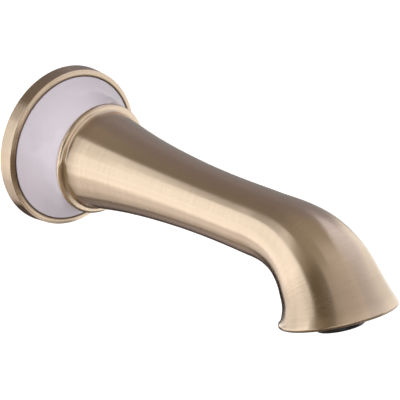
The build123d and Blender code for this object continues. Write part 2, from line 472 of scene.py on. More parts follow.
@dataclass(frozen=True)
class BrushedAntiqueBrass:
    """Cast brass, brushed round its axis, browned and lacquered.

    It gives the eye soft bands of light with fine streaks across them.
    """

    bright: str = "#EBD6BD"
    brown: str = "#E5CFB6"
    # Dark that the patina goes to: real patina in hollows, and painted shade at the rosette's inner edge and
    # under the lip
    recess: str = "#5A432A"
    roughness_low: float = 0.20
    roughness_high: float = 0.25
    recess_dulling: float = 0.15
    anisotropy: float = 0.92
    # Real brush marks are about 0.08 mm wide; drawn coarser, or they would not show
    streak_width: float = 0.00035
    streak_length: float = 0.014
    cloud_size: float = 0.030
    cloud_share: float = 0.35
    streak_relief: float = 0.000006
    relief_strength: float = 0.05
    coat: float = 0.08
    coat_roughness: float = 0.2

    def material(self) -> bpy.types.Material:
        """Build the material.

        Returns:
            The material.
        """
        material = new_material("brushed_antique_brass")
        tree = material.node_tree
        brush = add_node(tree, "ShaderNodeAttribute", {"attribute_name": "brush"}).outputs["Vector"]
        # The patina mixes the colour towards the recess colour; at the rosette's inner edge and under the lip
        # it is painted shade
        patina_and_shade = add_node(tree, "ShaderNodeAttribute", {"attribute_name": "patina_and_shade"}).outputs["Fac"]
        place = add_node(tree, "ShaderNodeTexCoord").outputs["Object"]
        round_scale = 1 / self.streak_length
        scale = (round_scale, round_scale, 1 / self.streak_width)
        stretched = add_node(tree, "ShaderNodeMapping", {"Scale": scale}, {"Vector": brush}).outputs["Vector"]
        streak = add_node(tree, "ShaderNodeTexNoise", {
            "Scale": 1.0, "Detail": 3.0, "Roughness": 0.6}, {"Vector": stretched}).outputs["Fac"]
        cloud = add_node(tree, "ShaderNodeTexNoise", {
            "Scale": 1 / self.cloud_size, "Detail": 2.0}, {"Vector": place}).outputs["Fac"]
        tone = add_node(tree, "ShaderNodeMix", {
            "data_type": "FLOAT", 0: self.cloud_share}, {2: streak, 3: cloud}).outputs[0]
        share = add_node(tree, "ShaderNodeMapRange", {
            1: NOISE_CORE[0], 2: NOISE_CORE[1]}, {0: tone}).outputs[0]
        rubbed = add_node(tree, "ShaderNodeMix", {
            "data_type": "RGBA", 6: paint(self.bright), 7: paint(self.brown)}, {0: share}).outputs[2]
        colour = add_node(tree, "ShaderNodeMix", {
            "data_type": "RGBA", 7: paint(self.recess)}, {0: patina_and_shade, 6: rubbed}).outputs[2]
        polish = add_node(tree, "ShaderNodeMapRange", {
            1: NOISE_SPAN[0], 2: NOISE_SPAN[1], 3: self.roughness_low, 4: self.roughness_high,
        }, {0: streak}).outputs[0]
        rough = add_node(tree, "ShaderNodeMath", {
            "operation": "MULTIPLY_ADD", 1: self.recess_dulling}, {0: patina_and_shade, 2: polish}).outputs[0]
        relief = add_node(tree, "ShaderNodeBump", {
            "Strength": self.relief_strength, "Distance": self.streak_relief,
        }, {"Height": streak}).outputs["Normal"]
        lay = add_node(tree, "ShaderNodeTangent", {
            "direction_type": "UV_MAP", "uv_map": "lay"}).outputs[0]
        shader = add_node(tree, "ShaderNodeBsdfPrincipled", {
            "Metallic": 1.0, "Anisotropic": self.anisotropy,
            "Coat Weight": self.coat, "Coat Roughness": self.coat_roughness,
        }, {"Base Color": colour, "Roughness": rough, "Normal": relief, "Tangent": lay}).outputs[0]
        add_node(tree, "ShaderNodeOutputMaterial", links={"Surface": shader})
        return material


@dataclass(frozen=True)
class GlazedPorcelain:
    """Fired white porcelain under a clear glaze.

    It gives the eye a cool white, with sharp faint reflections that waver a little.
    """

    white: str = "#EBE1E8"
    shade: str = "#E2D8DF"
    roughness: float = 0.10
    cloud_size: float = 0.018
    ripple_size: float = 0.006
    ripple_relief: float = 0.00003
    relief_strength: float = 0.3
    ior: float = 1.52

    def material(self) -> bpy.types.Material:
        """Build the material.

        Returns:
            The material.
        """
        material = new_material("glazed_porcelain")
        tree = material.node_tree
        place = add_node(tree, "ShaderNodeTexCoord").outputs["Object"]
        cloud = add_node(tree, "ShaderNodeTexNoise", {
            "Scale": 1 / self.cloud_size, "Detail": 2.0}, {"Vector": place}).outputs["Fac"]
        colour = add_node(tree, "ShaderNodeMix", {
            "data_type": "RGBA", 6: paint(self.white), 7: paint(self.shade)}, {0: cloud}).outputs[2]
        ripple = add_node(tree, "ShaderNodeTexNoise", {
            "Scale": 1 / self.ripple_size, "Detail": 1.0}, {"Vector": place}).outputs["Fac"]
        relief = add_node(tree, "ShaderNodeBump", {
            "Strength": self.relief_strength, "Distance": self.ripple_relief,
        }, {"Height": ripple}).outputs["Normal"]
        shader = add_node(tree, "ShaderNodeBsdfPrincipled", {
            "Roughness": self.roughness, "IOR": self.ior,
        }, {"Base Color": colour, "Normal": relief}).outputs[0]
        add_node(tree, "ShaderNodeOutputMaterial", links={"Surface": shader})
        return material


@dataclass(frozen=True)
class PlainFinish:
    """Moulded, foamed or turned stock of one colour: a fine grain breaks its tone, gloss and surface."""

    name: str
    light: str
    dark: str
    roughness_low: float
    roughness_high: float
    grain: float
    relief: float
    relief_strength: float = 0.4
    metallic: float = 0.0
    ior: float = 1.5

    def material(self) -> bpy.types.Material:
        """Build the material.

        Returns:
            The material.
        """
        material = new_material(self.name)
        tree = material.node_tree
        place = add_node(tree, "ShaderNodeTexCoord").outputs["Object"]
        grain = add_node(tree, "ShaderNodeTexNoise", {
            "Scale": 1 / self.grain, "Detail": 3.0}, {"Vector": place}).outputs["Fac"]
        colour = add_node(tree, "ShaderNodeMix", {
            "data_type": "RGBA", 6: paint(self.dark), 7: paint(self.light)}, {0: grain}).outputs[2]
        rough = add_node(tree, "ShaderNodeMapRange", {
            1: NOISE_SPAN[0], 2: NOISE_SPAN[1], 3: self.roughness_low, 4: self.roughness_high,
        }, {0: grain}).outputs[0]
        relief = add_node(tree, "ShaderNodeBump", {
            "Strength": self.relief_strength, "Distance": self.relief}, {"Height": grain}).outputs["Normal"]
        settings = {"Metallic": self.metallic}
        if self.metallic == 0.0:
            settings["IOR"] = self.ior
        shader = add_node(tree, "ShaderNodeBsdfPrincipled", settings, {
            "Base Color": colour, "Roughness": rough, "Normal": relief}).outputs[0]
        add_node(tree, "ShaderNodeOutputMaterial", links={"Surface": shader})
        return material


class Finish(Enum):
    """Finishes of the spout, by the record's name for each."""

    ANTIQUE_BRASS = "antique_brass"
    WHITE_PORCELAIN = "white_porcelain"
    RAW_BRASS = "raw_brass"
    BLACK_RUBBER = "black_rubber"
    GREY_FOAM = "grey_foam"
    BLACK_PLASTIC = "black_plastic"
    GREY_PLASTIC = "grey_plastic"


# Real moulding grain and turning marks are under 0.2 mm; drawn coarser, or they would not show
RECIPES = {
    Finish.ANTIQUE_BRASS: BrushedAntiqueBrass(),
    Finish.WHITE_PORCELAIN: GlazedPorcelain(),
    # Turned on a lathe and left bare: yellow metal with a satin gleam
    Finish.RAW_BRASS: PlainFinish(
        "turned_brass", light="#E0BE7E", dark="#C99F57", roughness_low=0.22, roughness_high=0.36,
        grain=0.0008, relief=0.00001, metallic=1.0),
    # Moulded: near black and dull, with no clear reflection
    Finish.BLACK_RUBBER: PlainFinish(
        "black_rubber", light="#262626", dark="#191919", roughness_low=0.6, roughness_high=0.8,
        grain=0.0006, relief=0.00002),
    # Foamed and cut: grey, open-pored and quite matt
    Finish.GREY_FOAM: PlainFinish(
        "grey_foam", light="#6A6A68", dark="#4B4B4A", roughness_low=0.85, roughness_high=0.95,
        grain=0.0007, relief=0.0002),
    # Moulded in a polished tool: deep black with a soft clear gloss
    Finish.BLACK_PLASTIC: PlainFinish(
        "black_acetal", light="#1C1B20", dark="#121116", roughness_low=0.22, roughness_high=0.34,
        grain=0.0009, relief=0.00001),
    # Moulded in a plain tool: mid grey with a dull gloss
    Finish.GREY_PLASTIC: PlainFinish(
        "grey_acetal", light="#8E8E8C", dark="#7C7C7B", roughness_low=0.35, roughness_high=0.5,
        grain=0.0008, relief=0.00001),
}


class Paintbox:
    """Materials of the spout, each built once."""

    def __init__(self) -> None:
        """Start with nothing mixed."""
        self.mixed: dict[Finish, bpy.types.Material] = {}

    def dress(self, piece: bpy.types.Object, finish: Finish) -> None:
        """Give a piece its finish, in place of any that it has.

        Args:
            piece: the mesh object.
            finish: the finish to give it.
        """
        if finish not in self.mixed:
            self.mixed[finish] = RECIPES[finish].material()
        piece.data.materials.clear()
        piece.data.materials.append(self.mixed[finish])

    def seat(self, piece: bpy.types.Object, node: str, finish: Finish) -> bpy.types.Object:
        """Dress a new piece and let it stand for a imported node.

        Args:
            piece: the new mesh object.
            node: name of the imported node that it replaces.
            finish: the finish of both.

        Returns:
            The piece.
        """
        self.dress(piece, finish)
        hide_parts(node)
        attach(piece, BODY)
        log.info("%s stands for %s, %d faces", piece.name, node, len(piece.data.polygons))
        return piece


# Pieces

@dataclass
class SpoutBody:
    """Brass casting: spigot, bead, cove, trumpet, neck, elbow and bell, with its waterway."""

    spigot_back: float = 0.0040
    spigot_r: float = 0.0155
    spigot_edge: float = 0.0004
    bead_back: float = 0.0232
    bead_r: float = 0.0241
    bead_round: float = 0.0016
    cove_r: float = 0.0016
    foot_slope: float = math.radians(9.2)
    foot_crowding: float = 1.25
    # Stations of the trumpet, as (out, radius)
    flank: Point = (0.0500, 0.0173)
    waist: Point = (0.0820, 0.0144)
    elbow_r: float = 0.0139
    elbow_slope: float = 0.02
    # Stations of the bell, as (share of the elbow's length, radius)
    bell: tuple[Point, ...] = (
        (0.163, 0.0141), (0.321, 0.0152), (0.506, 0.0173), (0.668, 0.0191), (0.857, 0.0210), (0.946, 0.0229))
    lip_r: float = 0.0249
    lip_slope: float = 0.68
    lip_round: float = 0.0011
    lip_wall: float = 0.0037
    lip_chamfer: float = 0.0009
    recess: float = 0.0025
    socket_r: float = 0.01203
    socket_top: float = 0.0120
    seat_t: float = 0.0015
    seat_r: float = 0.0100
    cavity_r: float = 0.0154
    cavity_share: float = 0.506
    wall: float = 0.0032
    passage_r: float = 0.0075
    inlet_r: float = 0.0105075
    inlet_bottom: float = 0.0215
    bead_patina: float = 0.05
    bead_fade: float = 0.1
    cove_patina: float = 0.2
    neck_fade: float = 0.1
    lower_bell_dark: float = 0.22
    brown_start: float = 0.6
    brown_rise: float = 0.25
    brown_end: float = 0.99
    brown_fall: float = 0.08
    # Painted shade on the underside of the lip round
    lip_painted_shade: float = 0.75
    lip_rise: float = 2.2
    lip_delay: float = 0.2
    inside_patina: float = 0.6

    @property
    def foot(self) -> Point:
        """Place where the cove runs into the trumpet."""
        middle = self.bead_back + 2 * self.bead_round + self.cove_r
        return (middle - self.cove_r * math.sin(self.foot_slope),
                self.bead_r - self.bead_round - self.cove_r * math.cos(self.foot_slope))

    def trumpet(self) -> Fairing:
        """Radius of the foot and neck over the distance from the wall."""
        stations = (self.foot, self.flank, self.waist, (ELBOW.start_out, self.elbow_r))
        return Fairing(stations, -math.tan(self.foot_slope), self.elbow_slope)

    def flare(self) -> Fairing:
        """Radius of the elbow and bell over the share of the elbow's length."""
        stations = ((0.0, self.elbow_r), *self.bell, (1.0, self.lip_r))
        return Fairing(stations, self.elbow_slope * ELBOW.length, self.lip_slope * ELBOW.length)

    def foot_rings(self) -> list[Ring]:
        """Spigot, bead and cove.

        Returns:
            Their rings, from the wall outwards.
        """
        centre_r = self.bead_r - self.bead_round
        crest = self.bead_back + self.bead_round
        cove = crest + self.bead_round + self.cove_r
        turned = TurnAxis.INLET.rings
        spigot = [
            (self.spigot_back, self.spigot_r - self.spigot_edge),
            (self.spigot_back + self.spigot_edge, self.spigot_r),
            (self.bead_back, self.spigot_r),
        ]
        bead = arc((crest, centre_r), self.bead_round, 180.0, 0.0, steps=18)
        cove_end = 270.0 - math.degrees(self.foot_slope)
        hollow = arc((cove, centre_r), self.cove_r, 180.0, cove_end, steps=12)
        return [
            *turned(spigot),
            # The bead browns at its very end, and the cove more and more towards the trumpet
            *turned(bead, lambda s: self.bead_patina * max(0.0, 1 - (1 - s) / self.bead_fade)),
            *turned(hollow[1:], lambda s: self.bead_patina + (self.cove_patina - self.bead_patina) * s),
        ]

    def neck_rings(self, steps: int = 56) -> list[Ring]:
        """Trumpet and neck.

        Args:
            steps: number of spans.

        Returns:
            Their rings, from the cove to the elbow.
        """
        fairing = self.trumpet()
        start = self.foot[0]
        length = ELBOW.start_out - start
        # The rings stand closer near the foot, where the curve is tighter and the brass a little browned
        outs = [start + length * (i / steps) ** self.foot_crowding for i in range(1, steps)]
        points = [(out, fairing.at(out)) for out in outs]
        return TurnAxis.INLET.rings(points, lambda s: self.cove_patina * ease(1 - s / self.neck_fade))

    def bell_darkening(self, share: float) -> float:
        """Darkening over the share of the elbow's length: darker on the lower bell, and light again just
        above the lip.
        """
        rise = ease((share - self.brown_start) / self.brown_rise)
        return self.lower_bell_dark * rise * ease((self.brown_end - share) / self.brown_fall)

    def bell_rings(self, steps: int = 72) -> list[Ring]:
        """Elbow, bell and rounded lip.

        Args:
            steps: number of spans above the lip.

        Returns:
            Their rings, down to the flat of the lip.
        """
        fairing = self.flare()
        lean = math.atan(self.lip_slope)
        round_r = self.lip_r - self.lip_round * (1 + math.sin(lean)) / math.cos(lean)
        round_top = self.lip_round * (1 + math.sin(lean))
        last_share = 1 - round_top / ELBOW.length
        shares = [last_share * i / steps for i in range(steps)]
        skin = [ELBOW.ring(share, fairing.at(share), self.bell_darkening(share)) for share in shares]
        lip_start = 90.0 + math.degrees(lean)
        lip = arc((-self.lip_round, round_r), self.lip_round, lip_start, 0.0, steps=12)
        # Over the first half of the round the lip darkens towards the mouth: painted shade under the lip
        return skin + TurnAxis.OUTLET.rings(
            lip, lambda s: self.lip_painted_shade * ease(self.lip_rise * s - self.lip_delay))

    def mouth_rings(self) -> list[Ring]:
        """Chamfer and recess inside the lip, socket, seat and throat.

        Returns:
            Their rings, up to the floor of the waterway.
        """
        recess_r = self.lip_r - self.lip_wall
        throat_top = -(self.socket_top + self.seat_t)
        points = [
            (0.0, recess_r + self.lip_chamfer),
            (-self.lip_chamfer, recess_r),
            (-self.recess, recess_r),
            (-self.recess, self.socket_r),
            (-self.socket_top, self.socket_r),
            (-self.socket_top, self.seat_r),
            (throat_top, self.seat_r),
            (throat_top, self.cavity_r),
        ]
        return TurnAxis.OUTLET.rings(points, self.inside_patina)

    def waterway_rings(self, steps: int = 24) -> list[Ring]:
        """Inside of bell, elbow, neck and inlet.

        Args:
            steps: number of spans in the elbow, and again in the neck.

        Returns:
            Their rings, back to the spigot's end.
        """
        bell, neck = self.flare(), self.trumpet()
        shares = [self.cavity_share * (1 - i / steps) for i in range(steps)]
        start = self.foot[0]
        outs = [ELBOW.start_out + (start - ELBOW.start_out) * i / steps for i in range(steps + 1)]
        inlet = [
            (start, self.passage_r),
            (self.inlet_bottom, self.passage_r),
            (self.inlet_bottom, self.inlet_r),
            (self.spigot_back, self.inlet_r),
        ]
        return [
            *(ELBOW.ring(share, bell.at(share) - self.wall, self.inside_patina) for share in shares),
            *TurnAxis.INLET.rings([(out, neck.at(out) - self.wall) for out in outs], self.inside_patina),
            *TurnAxis.INLET.rings(inlet, self.inside_patina),
        ]

    def build(self, paints: Paintbox) -> bpy.types.Object:
        """Model the casting and seat it on its node.

        Args:
            paints: the finishes to choose from.

        Returns:
            The finished piece.
        """
        rings = [*self.foot_rings(), *self.neck_rings(), *self.bell_rings(), *self.mouth_rings(),
                 *self.waterway_rings()]
        piece = RingSkin("brushed_spout_body", rings).model()
        return paints.seat(piece, "spout_body", Finish.ANTIQUE_BRASS)


@dataclass
class WallRosette:
    """Turned brass dish with a crowned rim and a groove in its back for the foam ring."""

    radius: float = 0.0350
    rim_width: float = 0.0027
    rim_draft: float = 0.0005
    floor_t: float = 0.0026
    hole_r: float = 0.0158
    rim_inner_height: float = 0.00675
    rim_outer_height: float = 0.0061
    rim_crown: float = 0.00012
    crown_rise: float = 3.0
    inner_lead: float = 0.4
    outer_lead: float = 0.35
    edge_round: float = 0.00035
    inner_edge: float = 0.00012
    groove_outer_r: float = 0.0301
    groove_inner_r: float = 0.0249
    groove_t: float = 0.0012
    floor_patina: float = 0.5
    # The inner wall gets recess patina and painted shade from the gap at the porcelain
    wall_patina_and_shade: float = 0.9
    front_patina: float = 0.15
    # Painted shade from the gap, spread from the inner edge over the front
    front_painted_shade: float = 0.8
    front_fall: float = 2.6
    edge_patina: float = 0.1
    back_patina: float = 0.22

    def front_rings(self) -> list[Ring]:
        """Floor, inner wall and crowned front of the rim.

        Returns:
            Their rings, from the hole outwards.
        """
        outer_r = self.radius - self.rim_draft
        inner_r = outer_r - self.rim_width
        front = bezier([
            (self.rim_inner_height, inner_r + self.inner_edge),
            (self.rim_inner_height, inner_r + self.rim_width * self.inner_lead),
            (self.rim_outer_height + self.rim_crown * self.crown_rise,
             outer_r - self.rim_width * self.outer_lead),
            (self.rim_outer_height + self.rim_crown, outer_r - self.edge_round),
        ], steps=14)
        edge = arc((self.rim_outer_height + self.rim_crown - self.edge_round, outer_r - self.edge_round),
                   self.edge_round, 0.0, 90.0, steps=6)
        turned = TurnAxis.INLET.rings
        return [
            *turned(line((self.floor_t, self.hole_r), (self.floor_t, inner_r), steps=4), self.floor_patina),
            *turned([(self.rim_inner_height - self.inner_edge, inner_r)], self.wall_patina_and_shade),
            # The inner wall's dark, painted shade from the gap at the porcelain, runs out over the first two
            # fifths of the front
            *turned(front, lambda s: self.front_patina + self.front_painted_shade * ease(1 - self.front_fall * s)),
            *turned(edge[1:], self.edge_patina),
        ]

    def back_rings(self) -> list[Ring]:
        """Outer wall, back face and groove.

        Returns:
            Their rings, back to the hole.
        """
        side = self.rim_outer_height + self.rim_crown - self.edge_round
        points = [
            *line((side, self.radius - self.rim_draft), (self.inner_edge, self.radius), steps=6)[1:],
            (0.0, self.radius - self.inner_edge),
            (0.0, self.groove_outer_r),
            (self.groove_t, self.groove_outer_r),
            (self.groove_t, self.groove_inner_r),
            (0.0, self.groove_inner_r),
            (0.0, self.hole_r),
        ]
        return TurnAxis.INLET.rings(points, self.back_patina)

    def build(self, paints: Paintbox) -> bpy.types.Object:
        """Model the rosette and seat it on its node."""
        piece = RingSkin("turned_rosette", [*self.front_rings(), *self.back_rings()]).model()
        return paints.seat(piece, "rosette", Finish.ANTIQUE_BRASS)


@dataclass
class PorcelainCollar:
    """Bell-shaped porcelain ring, hollow behind, with rounded glazed edges."""

    foot_out: float = 0.0034
    length: float = 0.0190
    radius: float = 0.03155
    front_r: float = 0.0227
    rim_out: float = 0.0071
    wall: float = 0.0045
    hole_r: float = 0.0158
    flare_in: float = 0.0032
    flare_drop: float = 0.0055
    throat: float = 0.0070
    throat_rise: float = 0.0009
    glaze_round: float = 0.0005
    edge_start_deg: float = 86.0

    def flare(self, inset: float, steps: int) -> list[Point]:
        """Hollow-curved side.

        Args:
            inset: how far it is moved in from the outer side.
            steps: number of spans.

        Returns:
            The points, from the rim to the front.
        """
        front = self.foot_out + self.length
        return bezier([
            (self.rim_out - inset, self.radius - inset),
            (self.rim_out + self.flare_in - inset, self.radius - self.flare_drop - inset),
            (front - self.throat - inset, self.front_r + self.throat_rise - inset),
            (front - inset, self.front_r - inset),
        ], steps)

    def build(self, paints: Paintbox) -> bpy.types.Object:
        """Model the collar and seat it on its node.

        Args:
            paints: the finishes to choose from.

        Returns:
            The finished piece.
        """
        front = self.foot_out + self.length
        side = self.flare(0.0, steps=48)
        lean = math.atan2(side[1][1] - side[0][1], side[1][0] - side[0][0])
        shoulder = arc((self.rim_out - self.glaze_round, self.radius - self.glaze_round), self.glaze_round,
                       90.0, 90.0 + math.degrees(lean), steps=8)
        edge = arc((front - self.glaze_round, side[-1][1] - self.glaze_round), self.glaze_round,
                   self.edge_start_deg, 0.0, steps=8)
        inside = self.flare(self.wall, steps=16)
        points = [
            (self.foot_out, self.radius),
            *shoulder,
            # The rounds take the place of the side's first and last points
            *side[3:-2],
            *edge,
            (front, self.hole_r),
            (front - self.wall, self.hole_r),
            *reversed(inside),
            (self.foot_out, inside[0][1]),
        ]
        piece = RingSkin("porcelain_bell", TurnAxis.INLET.rings(points)).model()
        return paints.seat(piece, "porcelain_collar", Finish.WHITE_PORCELAIN)


@dataclass
class Aerator:
    """Black sleeve in the outlet whose nose stands below the lip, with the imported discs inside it."""

    recess: float = 0.0025
    thread_r: float = 0.0120
    top: float = 0.0105
    cup_r: float = 0.0104
    cup_floor: float = 0.0063
    flange_r: float = 0.0130
    flange_t: float = 0.0013
    nose_r: float = 0.0097
    nose_drop: float = 0.0044
    nose_round: float = 0.0008
    bore_r: float = 0.0085
    ledge: float = 0.0006
    ledge_t: float = 0.0008
    edge: float = 0.00015

    def build(self, paints: Paintbox) -> bpy.types.Object:
        """Model the sleeve and seat it on its node.

        Args:
            paints: the finishes to choose from.

        Returns:
            The finished piece.
        """
        flange_bottom = self.flange_t - self.recess
        mouth_r = self.bore_r - self.ledge
        seat = self.nose_drop - self.ledge_t
        nose = arc((self.nose_drop - self.nose_round, self.nose_r - self.nose_round), self.nose_round,
                   90.0, 0.0, steps=8)
        points = [
            (-self.top, self.cup_r),
            (-self.top, self.thread_r),
            (-self.recess, self.thread_r),
            (-self.recess, self.flange_r),
            (flange_bottom - self.edge, self.flange_r),
            (flange_bottom, self.flange_r - self.edge),
            (flange_bottom, self.nose_r + self.edge),
            (flange_bottom + self.edge, self.nose_r),
            *nose,
            (self.nose_drop, mouth_r + self.edge),
            (self.nose_drop - self.edge, mouth_r),
            (seat, mouth_r),
            (seat, self.bore_r),
            (-self.cup_floor, self.bore_r),
            (-self.cup_floor, self.cup_r),
        ]
        piece = RingSkin("aerator_sleeve", TurnAxis.OUTLET.rings(points)).model()
        return paints.seat(piece, "aerator_housing", Finish.BLACK_PLASTIC)


@dataclass
class WallNipple:
    """Turned brass nipple: a right-hand pipe thread on both ends, a waist between and a hexagon socket."""

    tail: float = 0.0180
    waist_back: float = 0.0
    waist_front: float = 0.0040
    waist_r: float = 0.0093
    front: float = 0.0195
    thread_r: float = 0.0104775
    thread_pitch: float = 0.001814
    thread_depth: float = 0.00112
    thread_flat: float = 0.14
    chamfer: float = 0.0010
    bore_r: float = 0.0058
    bore_edge: float = 0.0003
    key_flats: float = 0.0120
    key_depth: float = 0.0120
    rings_per_turn: int = 12

    def thread_ring(self, out: float, limit: float) -> Ring:
        """Ring across the thread.

        Args:
            out: its distance from the wall plane.
            limit: radius of the blank there.

        Returns:
            The ring.
        """
        def section(angle: np.ndarray) -> np.ndarray:
            """Crest, flank and root of one turn.

            Args:
                angle: angles from the top of the ring.

            Returns:
                The radius at each of them.
            """
            turn = (out / self.thread_pitch + angle / (2 * math.pi)) % 1.0
            drop = (np.abs(2 * turn - 1) - self.thread_flat) / (1 - 2 * self.thread_flat)
            flank = np.clip(drop, 0.0, 1.0)
            return np.minimum(limit, self.thread_r - self.thread_depth * flank)
        return Ring(out, 0.0, 0.0, limit, 0.0, section)

    def thread_rings(self, start: float, end: float) -> list[Ring]:
        """Rings of one threaded end, chamfered where it is free.

        Args:
            start: where the end starts, as a distance from the wall plane.
            end: where it ends.

        Returns:
            The rings.
        """
        count = round((end - start) / self.thread_pitch * self.rings_per_turn)
        outs = [start + (end - start) * i / count for i in range(count + 1)]
        small = self.thread_r - self.chamfer
        return [
            self.thread_ring(out, min(self.thread_r, small + out + self.tail, small + self.front - out))
            for out in outs
        ]

    def key_ring(self, out: float) -> Ring:
        """Ring across the hexagon socket.

        Args:
            out: its distance from the wall plane.

        Returns:
            The ring, with a flat on top.
        """
        def section(angle: np.ndarray) -> np.ndarray:
            """Radius over the angle: six flats."""
            return self.key_flats / 2 / np.cos((angle + math.pi / 6) % (math.pi / 3) - math.pi / 6)
        return Ring(out, 0.0, 0.0, self.key_flats / 2, 0.0, section)

    def build(self, paints: Paintbox) -> bpy.types.Object:
        """Model the nipple and seat it on its node.

        Args:
            paints: the finishes to choose from.

        Returns:
            The finished piece.
        """
        turned = TurnAxis.INLET.rings
        rings = [
            *turned([(-self.tail, self.bore_r + self.bore_edge)]),
            *self.thread_rings(-self.tail, self.waist_back),
            *turned([(self.waist_back, self.waist_r), (self.waist_front, self.waist_r)]),
            *self.thread_rings(self.waist_front, self.front),
            self.key_ring(self.front),
            self.key_ring(self.front - self.key_depth),
            *turned([
                (self.front - self.key_depth, self.bore_r),
                (self.bore_edge - self.tail, self.bore_r),
            ]),
        ]
        piece = RingSkin("threaded_nipple", rings).model()
        return paints.seat(piece, "wall_nipple", Finish.RAW_BRASS)


# Studio

class CardKind(Enum):
    """How a studio card works on the spout."""

    LAMP = "lamp"
    FILL = "fill"
    FLAG = "flag"
    TABLE = "table"


@dataclass(frozen=True)
class Card:
    """Flat light or flag, placed by its direction from the spout, its distance and the angles it fills.

    A lamp, fill or flag faces the spout, and a positive roll lifts its edge on the side of the higher
    azimuth. A fill lights only what isn't mirror-like. A table is a flag that lies flat. Flags show in
    reflections alone, and one with a fade goes over to that colour at its edge of the higher azimuth.
    """

    name: str
    kind: CardKind
    azimuth_deg: float
    elevation_deg: float
    distance: float
    wide_deg: float
    tall_deg: float
    colour: str
    level: float = 1.0
    roll_deg: float = 0.0
    fade: str | None = None

    @property
    def size(self) -> tuple[float, float]:
        """Width and height in metres."""
        return (2 * self.distance * math.tan(math.radians(self.wide_deg / 2)),
                2 * self.distance * math.tan(math.radians(self.tall_deg / 2)))


